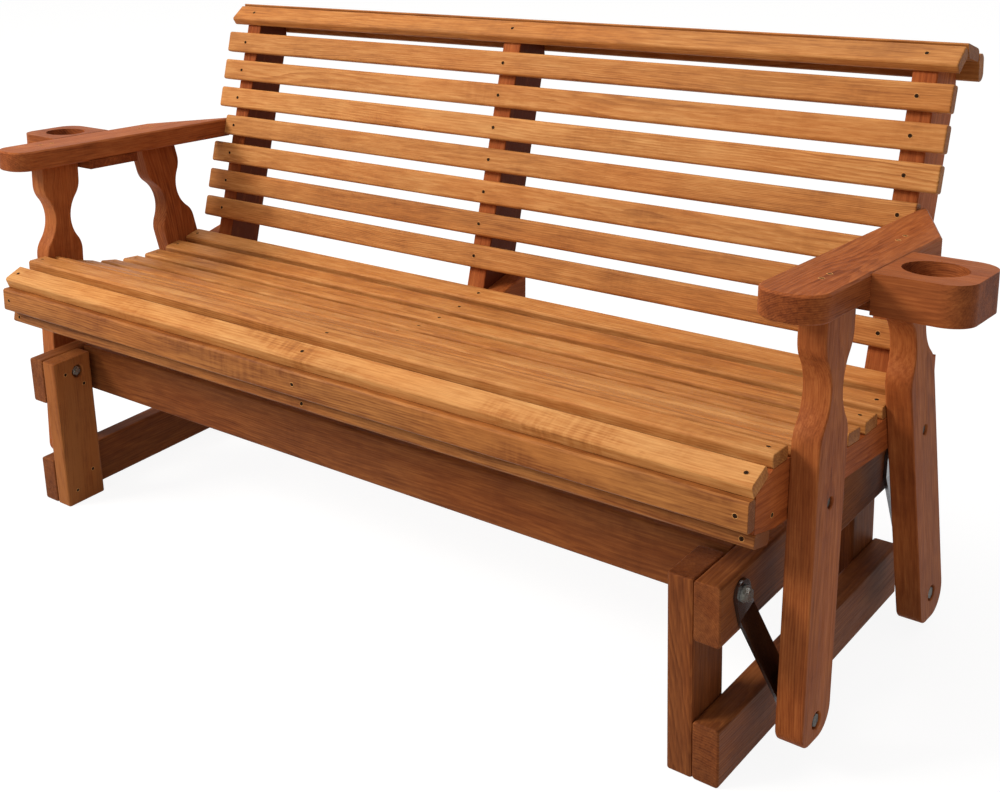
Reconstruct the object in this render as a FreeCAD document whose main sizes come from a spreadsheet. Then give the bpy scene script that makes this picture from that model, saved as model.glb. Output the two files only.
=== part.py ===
"""Glider bench in stained lumber, in millimetres, +Z up, with its front facing -Y.

Two end frames carry a slatted seat on four steel straps, so that the seat swings fore and aft.
Right is +X, as seen from in front. Y runs from the front of the base to its back, and Z from
the floor. The pieces of the seat are drawn in the seat's own level frame and then hung from
the base where the four straps let them rest.
"""

import FreeCAD, Part
import math
import os

import Sketcher

SIZES = (
    # lumber
    ("board_thick", 38),
    ("board_width", 89),
    ("edge_chamfer", 3),
    # slats of the seat and the back
    ("slat_length", 1524),
    ("back_slat_length", 1512),
    ("slat_width", 43),
    ("slat_thick", 20),
    # base frame
    ("base_length", 615),
    ("base_height", 300),
    ("beam_setback", 14),
    ("hanger_gap", 41),
    ("pivot_setback", 55),
    ("pivot_drop", 30),
    # hanging straps
    ("strap_drop", 209.2),
    ("strap_width", 40),
    ("strap_thick", 5),
    ("strap_straight", 34),
    ("strap_bend_drop", 140),
    ("rest_swing_angle", 18.8),
    # bolts, washers, nuts and coach screws
    ("bolt_radius", 5),
    ("head_flats", 17),
    ("head_thick", 6.4),
    ("nut_thick", 8),
    ("bolt_tail", 2),
    ("washer_radius", 12),
    ("washer_thick", 2.5),
    ("bolt_clearance", 0.25),
    ("side_clearance", 0.25),
    ("eye_clearance", 0.05),
    ("swing_allowance", 2.5),
    ("sink_radius", 12.5),
    ("post_sink_depth", 8),
    ("screw_radius", 4),
    ("screw_head_flats", 12),
    ("screw_head_thick", 5),
    ("screw_sink_radius", 8),
    ("leg_sink_depth", 12),
    ("side_bolt_grip", 30),
    # seat posts
    ("front_pivot_y", 97),
    ("front_pivot_z", 60.2),
    ("front_lean_angle", 0.8),
    ("rear_pivot_y", 519),
    ("rear_pivot_z", 69.8),
    ("rear_lean_angle", 15.4),
    ("front_post_tail", 29),
    ("rear_post_tail", 43),
    ("post_toe_radius", 24),
    ("post_heel_radius", 38),
    ("front_waist_z", 528),
    ("rear_waist_z", 521),
    ("waist_width", 38),
    ("waist_half_length", 72),
    ("shoulder_radius", 46),
    ("front_side_bolt_z", 374.5),
    ("rear_side_bolt_z", 366),
    # seat side rails and the dish that the flat slats follow
    ("rail_front_y", -36),
    ("rail_rear_y", 575),
    ("rail_bottom_z", 359.2),
    ("rail_slope_angle", 2.75),
    ("dish_y", 310),
    ("dish_low_z", 409),
    ("dish_radius", 600),
    ("dish_pitch_angle", 5.73),
    ("dish_start_angle", 13.39),
    ("brow_y", 31),
    ("brow_z", 461.5),
    ("roll_top_y", -29),
    ("roll_top_z", 447),
    ("roll_top_angle", 22.6),
    ("roll_front_z", 398.6),
    ("roll_under_z", 345.5),
    ("roll_under_y", -16),
    ("roll_under_angle", 168),
    # back
    ("back_y", 581.4),
    ("back_z", 829.1),
    ("back_lean_angle", 15.1),
    ("back_pitch", 60.1),
    ("crest_peak_rise", 67.4),
    ("crest_peak_depth", 20),
    ("crest_rear_rise", 27.9),
    ("crest_front_angle", 36),
    ("crest_top_angle", 16),
    ("crest_rear_angle", 85),
    ("crest_slat_front_down", 17),
    ("crest_slat_along", 27.4),
    ("crest_slat_rear_up", 32.3),
    ("crest_mitre", 15),
    ("crest_round_radius", 12),
    # arms and cup holders
    ("arm_top_z", 681.5),
    ("arm_slope_angle", 1.66),
    ("arm_front_y", -18),
    ("arm_overhang", 20),
    ("arm_corner_radius", 38),
    ("arm_taper_start_y", 388),
    ("arm_taper_end_y", 535),
    ("arm_tail_width", 21),
    ("cup_block_width", 117),
    ("cup_block_front_y", 139),
    ("cup_block_length", 140),
    ("cup_block_thick", 55),
    ("cup_lap_front_y", 156),
    ("cup_corner_radius", 36),
    ("cup_radius", 40),
    ("cup_depth", 29),
    ("cup_reach", 53),
)

FLAT_SLATS = 7
BACK_SLATS = 7
ARM_SLAT = 4
SIDES = (("right", 1), ("left", -1))

DOC = FreeCAD.newDocument("GliderBench")


class Size:
    """A size of the sheet, or one worked out from such sizes, as a number and as a formula."""

    def __init__(self, value, formula):
        self.value = value
        self.formula = formula

    def __add__(self, other):
        other = as_size(other)
        return Size(self.value + other.value, f"({self.formula} + {other.formula})")

    def __sub__(self, other):
        other = as_size(other)
        return Size(self.value - other.value, f"({self.formula} - {other.formula})")

    def __mul__(self, other):
        other = as_size(other)
        return Size(self.value * other.value, f"({self.formula} * {other.formula})")

    def __truediv__(self, other):
        other = as_size(other)
        return Size(self.value / other.value, f"({self.formula} / {other.formula})")

    def __neg__(self):
        return Size(-self.value, f"(0 - {self.formula})")


def as_size(number):
    return number if isinstance(number, Size) else Size(float(number), f"{float(number):.6f}")


def sine(angle):
    angle = as_size(angle)
    return Size(math.sin(math.radians(angle.value)), f"sin({angle.formula})")


def cosine(angle):
    angle = as_size(angle)
    return Size(math.cos(math.radians(angle.value)), f"cos({angle.formula})")


def fill_sheet():
    """Write the sizes into the document's sheet and return them by name."""
    sheet = DOC.addObject("Spreadsheet::Sheet", "Sizes")
    sizes = {}
    for row, (alias, number) in enumerate(SIZES, start=1):
        sheet.set(f"A{row}", alias)
        sheet.set(f"B{row}", str(number))
        sheet.setAlias(f"B{row}", alias)
        sizes[alias] = Size(float(number), f"Sizes.{alias}")
    DOC.recompute()
    return sizes


S = fill_sheet()

# Planes across the bench, from the seat's ends inwards.
SLAT_END_X = S["slat_length"] / 2
POST_OUT_X = SLAT_END_X + S["board_thick"]
SEAT_RAIL_X = SLAT_END_X - S["board_thick"]
UPRIGHT_X = SEAT_RAIL_X - S["board_thick"]
BASE_RAIL_OUT_X = SLAT_END_X - S["hanger_gap"]
BASE_RAIL_IN_X = BASE_RAIL_OUT_X - S["board_thick"]
LEG_IN_X = BASE_RAIL_IN_X - S["board_thick"]
ARM_OUT_X = POST_OUT_X + S["arm_overhang"]
ARM_IN_X = ARM_OUT_X - S["board_width"]

# Planes of the hanging straps: flat on the base rail above, close to the post below.
UPPER_STRAP_X = BASE_RAIL_OUT_X + S["side_clearance"]
LOWER_STRAP_X = SLAT_END_X - S["side_clearance"] - S["strap_thick"]

BASE_REAR_Y = S["base_length"]
UPPER_PIVOT_Z = S["base_height"] - S["pivot_drop"]
UPPER_PIVOTS = {
    "front": (S["pivot_setback"], UPPER_PIVOT_Z),
    "rear": (BASE_REAR_Y - S["pivot_setback"], UPPER_PIVOT_Z),
}
LOWER_PIVOTS = {
    "front": (S["front_pivot_y"], S["front_pivot_z"]),
    "rear": (S["rear_pivot_y"], S["rear_pivot_z"]),
}
POST_LEANS = {"front": S["front_lean_angle"], "rear": -S["rear_lean_angle"]}
X_AXIS = FreeCAD.Vector(1, 0, 0)
Y_AXIS = FreeCAD.Vector(0, 1, 0)
Z_AXIS = FreeCAD.Vector(0, 0, 1)

NEAR = 1e-3
PIECES = []


def keep(piece, label, group, inner=None):
    """List a finished piece with the group that carries it and its place in that group."""
    piece.Label = label
    PIECES.append((piece, group, inner or FreeCAD.Placement()))
    return piece


# Sketches and features

def new_body(label):
    return DOC.addObject("PartDesign::Body", label)


def new_sketch(body, name, role, offset=None):
    """A sketch on one of the body's own planes, at an offset along its normal."""
    sketch = body.newObject("Sketcher::SketchObject", name)
    plane = next(feature for feature in body.Origin.OriginFeatures if feature.Role == role)
    sketch.AttachmentSupport = (plane, [""])
    sketch.MapMode = "FlatFace"
    if offset is not None:
        sketch.setExpression(".AttachmentOffset.Base.z", as_size(offset).formula)
    return sketch


def bind(sketch, kind, *where, size):
    """Add a dimension and bind it to its formula."""
    size = as_size(size)
    number = sketch.addConstraint(Sketcher.Constraint(kind, *where, size.value))
    sketch.setExpression(f"Constraints[{number}]", size.formula)


def arc_through(start, end, radius, turn):
    """The short arc from start to end; turn is 1 when its centre lies left of the way."""
    chord = end - start
    half = chord.Length / 2
    left = FreeCAD.Vector(-chord.y, chord.x, 0).normalize()
    centre = (start + end) / 2 + left * (turn * math.sqrt(radius * radius - half * half))
    first, last = (start, end) if turn > 0 else (end, start)
    first_angle = math.atan2(first.y - centre.y, first.x - centre.x)
    last_angle = math.atan2(last.y - centre.y, last.x - centre.x)
    circle = Part.Circle(centre, Z_AXIS, radius)
    return Part.ArcOfCircle(circle, first_angle, last_angle)


def closed_line(sketch, corners, arcs=None):
    """Draw a closed outline through corners; arcs maps a side's number to (radius, turn)."""
    arcs = arcs or {}
    corners = [(as_size(across), as_size(up)) for across, up in corners]
    points = [FreeCAD.Vector(across.value, up.value, 0) for across, up in corners]
    first_side = len(sketch.Geometry)
    ends = []
    for side, start in enumerate(points):
        end = points[(side + 1) % len(points)]
        if side in arcs:
            radius, turn = arcs[side]
            geometry = sketch.addGeometry(arc_through(start, end, radius.value, turn))
            ends.append((1, 2) if turn > 0 else (2, 1))
            bind(sketch, "Radius", geometry, size=radius)
        else:
            sketch.addGeometry(Part.LineSegment(start, end))
            ends.append((1, 2))
    for side, (across, up) in enumerate(corners):
        after = (side + 1) % len(corners)
        joint = (first_side + side, ends[side][1], first_side + after, ends[after][0])
        sketch.addConstraint(Sketcher.Constraint("Coincident", *joint))
        bind(sketch, "DistanceX", -1, 1, first_side + side, ends[side][0], size=across)
        bind(sketch, "DistanceY", -1, 1, first_side + side, ends[side][0], size=up)


def circle_line(sketch, across, up, radius):
    """Draw a circle about (across, up)."""
    across, up, radius = as_size(across), as_size(up), as_size(radius)
    centre = FreeCAD.Vector(across.value, up.value, 0)
    geometry = sketch.addGeometry(Part.Circle(centre, Z_AXIS, radius.value))
    bind(sketch, "DistanceX", -1, 1, geometry, 3, size=across)
    bind(sketch, "DistanceY", -1, 1, geometry, 3, size=up)
    bind(sketch, "Radius", geometry, size=radius)


def rectangle(left, bottom, right, top):
    return [(left, bottom), (right, bottom), (right, top), (left, top)]


def pad(body, sketch, length, middle=False):
    feature = body.newObject("PartDesign::Pad", f"{body.Name}_pad")
    feature.Profile = sketch
    feature.setExpression("Length", as_size(length).formula)
    if middle:
        feature.SideType = "Symmetric"
    DOC.recompute()
    return feature


def cut(body, sketch, depth=None, along=False):
    """Cut right through both ways, or to a depth; along means along the sketch's normal."""
    before = body.Shape.Volume
    feature = body.newObject("PartDesign::Pocket", f"{sketch.Name}_cut")
    feature.Profile = sketch
    if depth is None:
        feature.SideType = "Symmetric"
        feature.Type = "ThroughAll"
    else:
        feature.Reversed = along
        feature.setExpression("Length", as_size(depth).formula)
    DOC.recompute()
    if body.Shape.Volume >= before:
        raise RuntimeError(f"{feature.Name} cuts nothing")
    return feature


def across_x(edge):
    """True for a straight edge that runs along X."""
    way = edge.lastVertex().Point - edge.firstVertex().Point
    return way.Length > 1 and way.getAngle(X_AXIS) % math.pi < NEAR


def edge_at(y, z):
    """A test for a straight edge along X through (y, z)."""
    def test(edge):
        point = edge.firstVertex().Point
        return across_x(edge) and math.hypot(point.y - y, point.z - z) < NEAR
    return test


def upright_edge(edge):
    way = edge.lastVertex().Point - edge.firstVertex().Point
    return way.Length > 1 and math.hypot(way.x, way.y) < NEAR


def dress_edges(body, kind, setting, size, wanted):
    """Dress the edges of the body's latest feature that pass the test."""
    base = body.Tip
    names = [f"Edge{n}" for n, edge in enumerate(base.Shape.Edges, start=1) if wanted(edge)]
    feature = body.newObject(f"PartDesign::{kind}", f"{body.Name}_{kind.lower()}")
    feature.Base = (base, names)
    feature.setExpression(setting, size.formula)
    DOC.recompute()


def round_edges(body, radius, wanted):
    dress_edges(body, "Fillet", "Radius", radius, wanted)


def ease_edges(body, wanted):
    """Take the sharpness off a board's edges."""
    dress_edges(body, "Chamfer", "Size", S["edge_chamfer"], wanted)


# Boards

def side_board(label, group, side, inner_x, corners, thick, arcs=None):
    """A board whose outline is drawn from the side, from inner_x outwards on one side."""
    body = keep(new_body(label), label, group)
    start = inner_x if side > 0 else -(inner_x + thick)
    sketch = new_sketch(body, f"{label}_outline", "YZ_Plane", start)
    closed_line(sketch, corners, arcs)
    pad(body, sketch, thick)
    return body


def bore_x(body, name, places, radius):
    """Bore right through along X at each (y, z)."""
    sketch = new_sketch(body, f"{body.Name}_{name}", "YZ_Plane")
    for y, z in places:
        circle_line(sketch, y, z, radius)
    cut(body, sketch)


def sink_x(body, name, places, radius, face_x, depth, inwards):
    """Sink round recesses into the face at face_x; inwards is the sign of X going in."""
    sketch = new_sketch(body, f"{body.Name}_{name}", "YZ_Plane", face_x)
    for y, z in places:
        circle_line(sketch, y, z, radius)
    cut(body, sketch, depth, along=inwards > 0)


BOLT_HOLE = S["bolt_radius"] + S["bolt_clearance"]
SCREW_HOLE = S["screw_radius"] + S["bolt_clearance"]
POST_SINK_X = POST_OUT_X - S["post_sink_depth"]


def make_leg(end, hand, side):
    label = f"base_leg_{end}_{hand}"
    body = keep(new_body(label), label, "base")
    front = as_size(0) if end == "front" else BASE_REAR_Y - S["board_width"]
    left = LEG_IN_X if side > 0 else -BASE_RAIL_IN_X
    sketch = new_sketch(body, f"{label}_foot", "XY_Plane")
    right = left + S["board_thick"]
    closed_line(sketch, rectangle(left, front, right, front + S["board_width"]))
    pad(body, sketch, S["base_height"])
    ease_edges(body, upright_edge)
    bore_x(body, "pivot_bore", [UPPER_PIVOTS[end]], BOLT_HOLE)
    face = LEG_IN_X if side > 0 else -LEG_IN_X
    sink_x(body, "nut_sink", [UPPER_PIVOTS[end]], S["sink_radius"], face, S["leg_sink_depth"], side)


def make_base_rail(level, hand, side):
    bottom = as_size(0) if level == "lower" else S["base_height"] - S["board_width"]
    corners = rectangle(0, bottom, BASE_REAR_Y, bottom + S["board_width"])
    label = f"base_rail_{level}_{hand}"
    body = side_board(label, "base", side, BASE_RAIL_IN_X, corners, S["board_thick"])
    ease_edges(body, lambda edge: not across_x(edge) and not upright_edge(edge))
    if level == "upper":
        bore_x(body, "pivot_bore", UPPER_PIVOTS.values(), BOLT_HOLE)


def make_beam(end):
    label = f"base_beam_{end}"
    body = keep(new_body(label), label, "base")
    near = S["board_width"] + S["beam_setback"]
    front = near if end == "front" else BASE_REAR_Y - near - S["board_thick"]
    bottom = S["base_height"] - S["board_width"]
    sketch = new_sketch(body, f"{label}_section", "YZ_Plane")
    back = front + S["board_thick"]
    closed_line(sketch, rectangle(front, bottom, back, S["base_height"]))
    pad(body, sketch, BASE_RAIL_IN_X * 2, middle=True)
    ease_edges(body, across_x)


def make_slat(label, place, length, mitre=None, rounded=(), left_square=()):
    """A slat, placed by the middle of its show face and that face's tilt about X.

    A mitre draws the show face out past the slat's lower edge. Its corners are eased, but for
    those numbered in rounded, which are rounded over, and those in left_square.
    """
    body = new_body(label)
    half = S["slat_width"] / 2
    sketch = new_sketch(body, f"{label}_section", "YZ_Plane")
    corners = rectangle(-half, -S["slat_thick"], half, as_size(0))
    if mitre:
        corners[3] = (-half - mitre, as_size(0))
    closed_line(sketch, corners)
    pad(body, sketch, length, middle=True)
    tests = [edge_at(y.value, z.value) for y, z in corners]
    if rounded:
        round_edges(body, S["crest_round_radius"], lambda edge: any(tests[n](edge) for n in rounded))
    eased = [test for n, test in enumerate(tests) if n not in rounded + left_square]
    ease_edges(body, lambda edge: any(test(edge) for test in eased))
    y, z, angle = place
    turn = FreeCAD.Rotation(X_AXIS, angle.value)
    keep(body, label, "seat", FreeCAD.Placement(FreeCAD.Vector(0, y.value, z.value), turn))


# The slats' places: each is the middle of the show face, with its tilt about X.

def dish_angle(number):
    """Flat slats are numbered from the rear, where the dish rises."""
    return S["dish_start_angle"] - S["dish_pitch_angle"] * number


def dish_slat(number):
    angle = dish_angle(number)
    y = S["dish_y"] + S["dish_radius"] * sine(angle)
    z = S["dish_low_z"] + S["dish_radius"] * (as_size(1) - cosine(angle))
    return y, z, angle


BACK_ANGLE = as_size(90) - S["back_lean_angle"]


def back_slat(number):
    """Back slats are numbered from the top."""
    y = S["back_y"] - S["back_pitch"] * sine(S["back_lean_angle"]) * number
    z = S["back_z"] - S["back_pitch"] * cosine(S["back_lean_angle"]) * number
    return y, z, BACK_ANGLE


ROLL_FRONT_Y = S["rail_front_y"] - S["slat_thick"]
SEAT_SLATS = [dish_slat(number) for number in range(FLAT_SLATS)]
SEAT_SLATS.append((S["brow_y"], S["brow_z"], as_size(0)))
ROLL_SLATS = [
    (S["roll_top_y"], S["roll_top_z"], S["roll_top_angle"]),
    (ROLL_FRONT_Y, S["roll_front_z"], as_size(90)),
    (S["roll_under_y"], S["roll_under_z"], S["roll_under_angle"]),
]


def under(slat):
    """The line of a slat's inner face, one slat's thickness below its show face."""
    y, z, angle = slat
    return y + S["slat_thick"] * sine(angle), z - S["slat_thick"] * cosine(angle), angle


def meet(first, second):
    """Where two lines cross, each given by a point and an angle."""
    y1, z1, angle1 = first
    y2, z2, angle2 = second
    along = (y2 - y1) * sine(angle2) - (z2 - z1) * cosine(angle2)
    along = along / sine(angle2 - angle1)
    return y1 + along * cosine(angle1), z1 + along * sine(angle1)


def upright_line(y):
    return y, as_size(0), as_size(90)


def level_line(z):
    return as_size(0), z, as_size(0)


def sloping_line(z):
    """A line along the arms, which fall to the rear, at height z over the seat's front."""
    return as_size(0), as_size(z), -S["arm_slope_angle"]


ARM_TOP = sloping_line(S["arm_top_z"])
ARM_UNDER = sloping_line(S["arm_top_z"] - S["board_thick"])
RAIL_UNDER = (as_size(0), S["rail_bottom_z"], -S["rail_slope_angle"])




def seat_rail_outline():
    """The top has one facet under each slat; the nose has three, for the roll front."""
    lines = [upright_line(S["rail_rear_y"])]
    lines += [under(slat) for slat in SEAT_SLATS + ROLL_SLATS]
    lines.append(RAIL_UNDER)
    return [meet(line, lines[(n + 1) % len(lines)]) for n, line in enumerate(lines)]


def make_seat_rails():
    outline = seat_rail_outline()
    screws = [side_bolt(end) for end in LOWER_PIVOTS]
    for hand, side in SIDES:
        label = f"seat_rail_{hand}"
        body = side_board(label, "seat", side, SEAT_RAIL_X, outline, S["board_thick"])
        face = SLAT_END_X if side > 0 else -SLAT_END_X
        depth = S["side_bolt_grip"] + S["bolt_tail"]
        sink_x(body, "screw_bores", screws, SCREW_HOLE, face, depth, -side)
    half = S["board_thick"] / 2
    side_board("seat_rail_centre", "seat", 1, -half, outline, S["board_thick"])


BACK_FACE = under(back_slat(0))


def behind_back(rise, depth):
    """A point of the uprights: rise up the back from its top slat, depth behind its face."""
    y, z, angle = BACK_FACE
    back_y = y + rise * cosine(angle) + depth * sine(angle)
    back_z = z + rise * sine(angle) - depth * cosine(angle)
    return back_y, back_z


CREST_PEAK = behind_back(S["crest_peak_rise"], S["crest_peak_depth"])
CREST_REAR = behind_back(S["crest_rear_rise"], S["board_width"])


def upright_outline():
    """A plank that leans with the back; its crest has a facet for each crest slat."""
    lines = [
        BACK_FACE,
        (*CREST_PEAK, S["crest_front_angle"]),
        (*CREST_PEAK, -S["crest_top_angle"]),
        (*CREST_REAR, -S["crest_rear_angle"]),
        (*CREST_REAR, BACK_FACE[2]),
        RAIL_UNDER,
    ]
    return [meet(line, lines[(n + 1) % len(lines)]) for n, line in enumerate(lines)]


def make_slats():
    for number, place in enumerate(SEAT_SLATS, start=1):
        make_slat(f"seat_slat_{number}", place, S["slat_length"])
    upper, front, lower = ROLL_SLATS
    make_slat("roll_slat_1", upper, S["slat_length"], left_square=(0,))
    make_slat("roll_slat_2", front, S["slat_length"])
    make_slat("roll_slat_3", lower, S["slat_length"])
    length = S["back_slat_length"]
    between_arms = ARM_IN_X * 2
    for number in range(BACK_SLATS):
        whole = number + 1 != ARM_SLAT
        make_slat(f"back_slat_{number + 1}", back_slat(number), length if whole else between_arms)
    front, top, rear = crest_slats()
    make_slat("crest_slat_1", front, length)
    make_slat("crest_slat_2", top, length, S["crest_mitre"], rounded=(2,))
    make_slat("crest_slat_3", rear, length, rounded=(2, 3))


def make_uprights():
    outline = upright_outline()
    for hand, side in SIDES:
        side_board(f"back_upright_{hand}", "seat", side, UPRIGHT_X, outline, S["board_thick"])
    beside_rail = -(S["board_thick"] * 1.5)
    side_board("back_upright_centre", "seat", 1, beside_rail, outline, S["board_thick"])


def crest_slats():
    """Three slats wrap the top of the back: a tilted one, a top one and a rear one."""
    front = S["crest_front_angle"]
    top = -S["crest_top_angle"]
    lift = S["slat_thick"]
    peak_y, peak_z = CREST_PEAK
    front_y = peak_y - S["crest_slat_front_down"] * cosine(front) - lift * sine(front)
    front_z = peak_z - S["crest_slat_front_down"] * sine(front) + lift * cosine(front)
    top_y = peak_y + S["crest_slat_along"] * cosine(top) - lift * sine(top)
    top_z = peak_z + S["crest_slat_along"] * sine(top) + lift * cosine(top)
    rear = -S["crest_rear_angle"]
    rear_y = CREST_REAR[0] - S["crest_slat_rear_up"] * cosine(rear) - lift * sine(rear)
    rear_z = CREST_REAR[1] - S["crest_slat_rear_up"] * sine(rear) + lift * cosine(rear)
    return [(front_y, front_z, front), (top_y, top_z, top), (rear_y, rear_z, rear)]


# Posts, arms and cup holders

def post_axis(end, z):
    """The Y of a post's middle line at a height."""
    y, pivot_z = LOWER_PIVOTS[end]
    lean = POST_LEANS[end]
    return y + (z - pivot_z) * sine(lean) / cosine(lean)


def side_bolt(end):
    height = S[f"{end}_side_bolt_z"]
    return post_axis(end, height), height


def post_line(end, off):
    """A line along a post, off behind its middle line."""
    y, z = LOWER_PIVOTS[end]
    lean = POST_LEANS[end]
    return y + off * cosine(lean), z - off * sine(lean), as_size(90) - lean


def post_point(end, along, off):
    """A point of a post: along its middle line from the waist, and off behind that line."""
    waist_z = S[f"{end}_waist_z"]
    lean = POST_LEANS[end]
    y = post_axis(end, waist_z) + along * sine(lean) + off * cosine(lean)
    return y, waist_z + along * cosine(lean) - off * sine(lean)


# Each side of a waist is two S curves. Each runs from a convex shoulder into a hollow.
WAIST_DEPTH = (S["board_width"] - S["waist_width"]) / 2
S_REACH = S["waist_half_length"]
HOLLOW_RADIUS = (S_REACH * S_REACH + WAIST_DEPTH * WAIST_DEPTH) / (WAIST_DEPTH * 2) - S["shoulder_radius"]
HOLLOW_SHARE = HOLLOW_RADIUS / (HOLLOW_RADIUS + S["shoulder_radius"])


def make_post(end, hand, side):
    """A plank with a waist between the seat and the arm, and a round toe and heel."""
    half = S["board_width"] / 2
    bottom = level_line(LOWER_PIVOTS[end][1] - S[f"{end}_post_tail"])
    front, rear = post_line(end, -half), post_line(end, half)
    bend = S["waist_width"] / 2 + WAIST_DEPTH * HOLLOW_SHARE
    ways = (-S_REACH, -S_REACH * HOLLOW_SHARE, S_REACH * HOLLOW_SHARE, S_REACH)
    offs = (half, bend, bend, half)
    corners = [meet(front, bottom), meet(rear, bottom)]
    corners += [post_point(end, along, off) for along, off in zip(ways, offs)]
    corners += [meet(rear, ARM_UNDER), meet(front, ARM_UNDER)]
    corners += [post_point(end, -along, -off) for along, off in zip(ways, offs)]
    shoulder, hollow = (S["shoulder_radius"], 1), (HOLLOW_RADIUS, -1)
    arcs = {2: shoulder, 3: hollow, 4: shoulder, 8: shoulder, 9: hollow, 10: shoulder}
    label = f"seat_post_{end}_{hand}"
    body = side_board(label, "seat", side, SLAT_END_X, corners, S["board_thick"], arcs)
    toe, heel = [edge_at(y.value, z.value) for y, z in corners[:2]]
    round_edges(body, S["post_toe_radius"], toe)
    round_edges(body, S["post_heel_radius"], heel)
    face = POST_OUT_X if side > 0 else -POST_OUT_X
    pivot, screw = [LOWER_PIVOTS[end]], [side_bolt(end)]
    bore_x(body, "pivot_bore", pivot, BOLT_HOLE)
    bore_x(body, "screw_bore", screw, SCREW_HOLE)
    sink_x(body, "pivot_sink", pivot, S["sink_radius"], face, S["post_sink_depth"], -side)
    sink_x(body, "screw_sink", screw, S["screw_sink_radius"], face, S["post_sink_depth"], -side)


def make_arm(hand, side):
    """A sloping board from the front post back to the back, with its rear outer corner off."""
    label = f"arm_{hand}"
    front = upright_line(S["arm_front_y"])
    corners = [meet(ARM_UNDER, front), meet(ARM_UNDER, BACK_FACE)]
    corners += [meet(ARM_TOP, BACK_FACE), meet(ARM_TOP, front)]
    body = side_board(label, "seat", side, ARM_IN_X, corners, S["board_width"])
    taper = new_sketch(body, f"{label}_taper", "XY_Plane")
    slope = (ARM_OUT_X - ARM_IN_X - S["arm_tail_width"]) / (S["arm_taper_end_y"] - S["arm_taper_start_y"])
    past = S["board_width"]
    rear = S["arm_taper_end_y"] + past
    wedge = [(ARM_OUT_X, S["arm_taper_start_y"]), (ARM_OUT_X, rear)]
    wedge.append((ARM_OUT_X - slope * (rear - S["arm_taper_start_y"]), rear))
    closed_line(taper, [(x * side, y) for x, y in wedge])
    cut(body, taper)
    round_edges(body, S["arm_corner_radius"], lambda edge: upright_edge(edge) and edge.CenterOfMass.y < 0)
    rear = corners[1][0].value
    ease_edges(body, lambda edge: not upright_edge(edge) and edge.BoundBox.YMin < rear - NEAR)


def make_cup_block(hand, side):
    """A thick block beside the arm, lapped under it, with a round recess for a cup."""
    label = f"cup_block_{hand}"
    front = upright_line(S["cup_block_front_y"])
    back = upright_line(S["cup_block_front_y"] + S["cup_block_length"])
    under = sloping_line(S["arm_top_z"] - S["cup_block_thick"])
    corners = [meet(under, front), meet(under, back), meet(ARM_TOP, back), meet(ARM_TOP, front)]
    width = ARM_OUT_X + S["cup_block_width"] - ARM_IN_X
    body = side_board(label, "seat", side, ARM_IN_X, corners, width)
    # Inside the arm's outer edge, only a lap under the arm and behind the front post is left.
    lap = upright_line(S["cup_lap_front_y"])
    floor, above = level_line(as_size(0)), sloping_line(S["arm_top_z"] + S["board_thick"])
    step = new_sketch(body, f"{label}_step", "YZ_Plane", ARM_OUT_X * side)
    waste = [meet(floor, front), meet(floor, lap), meet(ARM_UNDER, lap)]
    waste += [meet(ARM_UNDER, back), meet(above, back), meet(above, front)]
    closed_line(step, waste)
    cut(body, step, S["board_width"], along=side < 0)
    outer_x = ARM_OUT_X.value + NEAR
    round_edges(body, S["cup_corner_radius"], lambda edge: upright_edge(edge)
                and abs(edge.CenterOfMass.x) > outer_x)
    y = S["cup_block_front_y"] + S["cup_block_length"] / 2
    sketch = new_sketch(body, f"{label}_cup", "XY_Plane", corners[3][1])
    circle_line(sketch, (ARM_OUT_X + S["cup_reach"]) * side, y, S["cup_radius"])
    cut(body, sketch, S["cup_depth"])


# Straps, drawn hanging straight down from their upper pivot

def eye_radius(end, level):
    """The rear straps' lower eyes leave room for the error of steady turning ratios."""
    room = S["swing_allowance"] if (end, level) == ("rear", "lower") else S["eye_clearance"]
    return S["bolt_radius"] + room


def make_strap(end, hand, inner):
    """A flat strap with round ends, cranked outwards below its upper pivot."""
    label = f"hanger_{end}_{hand}"
    body = keep(new_body(label), label, f"link_{end}_{hand}", inner)
    drop = S["strap_drop"]
    radius = S["strap_width"] / 2
    thick = S["strap_thick"]
    bend_top = -S["strap_straight"]
    bend_foot = bend_top - S["strap_bend_drop"]
    slope = (LOWER_STRAP_X - UPPER_STRAP_X) / S["strap_bend_drop"]
    shift = thick * slope / 2
    side_view = [
        (UPPER_STRAP_X, radius),
        (UPPER_STRAP_X, bend_top - shift),
        (LOWER_STRAP_X, bend_foot - shift),
        (LOWER_STRAP_X, -drop - radius),
        (LOWER_STRAP_X + thick, -drop - radius),
        (LOWER_STRAP_X + thick, bend_foot + shift),
        (UPPER_STRAP_X + thick, bend_top + shift),
        (UPPER_STRAP_X + thick, radius),
    ]
    sketch = new_sketch(body, f"{label}_crank", "XZ_Plane")
    closed_line(sketch, side_view)
    pad(body, sketch, S["strap_width"], middle=True)
    trim = new_sketch(body, f"{label}_trim", "YZ_Plane")
    spare = radius * 2
    closed_line(trim, rectangle(-spare, -drop - spare, spare, spare))
    stadium = [(-radius, 0), (-radius, -drop), (radius, -drop), (radius, 0)]
    closed_line(trim, stadium, {1: (radius * 1.0001, 1), 3: (radius * 1.0001, 1)})
    cut(body, trim)
    holes = new_sketch(body, f"{label}_eyes", "YZ_Plane")
    circle_line(holes, 0, 0, eye_radius(end, "upper"))
    circle_line(holes, 0, -drop, eye_radius(end, "lower"))
    cut(body, holes)


BOLT = (S["bolt_radius"], S["head_flats"], S["head_thick"])
SCREW = (S["screw_radius"], S["screw_head_flats"], S["screw_head_thick"])


def rod(name, radius, start_x, length, y, z):
    """A round bar along X."""
    made = DOC.addObject("Part::Cylinder", name)
    made.setExpression("Radius", as_size(radius).formula)
    made.setExpression("Height", as_size(length).formula)
    made.Placement = along_x(start_x, y, z)
    return made


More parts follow.
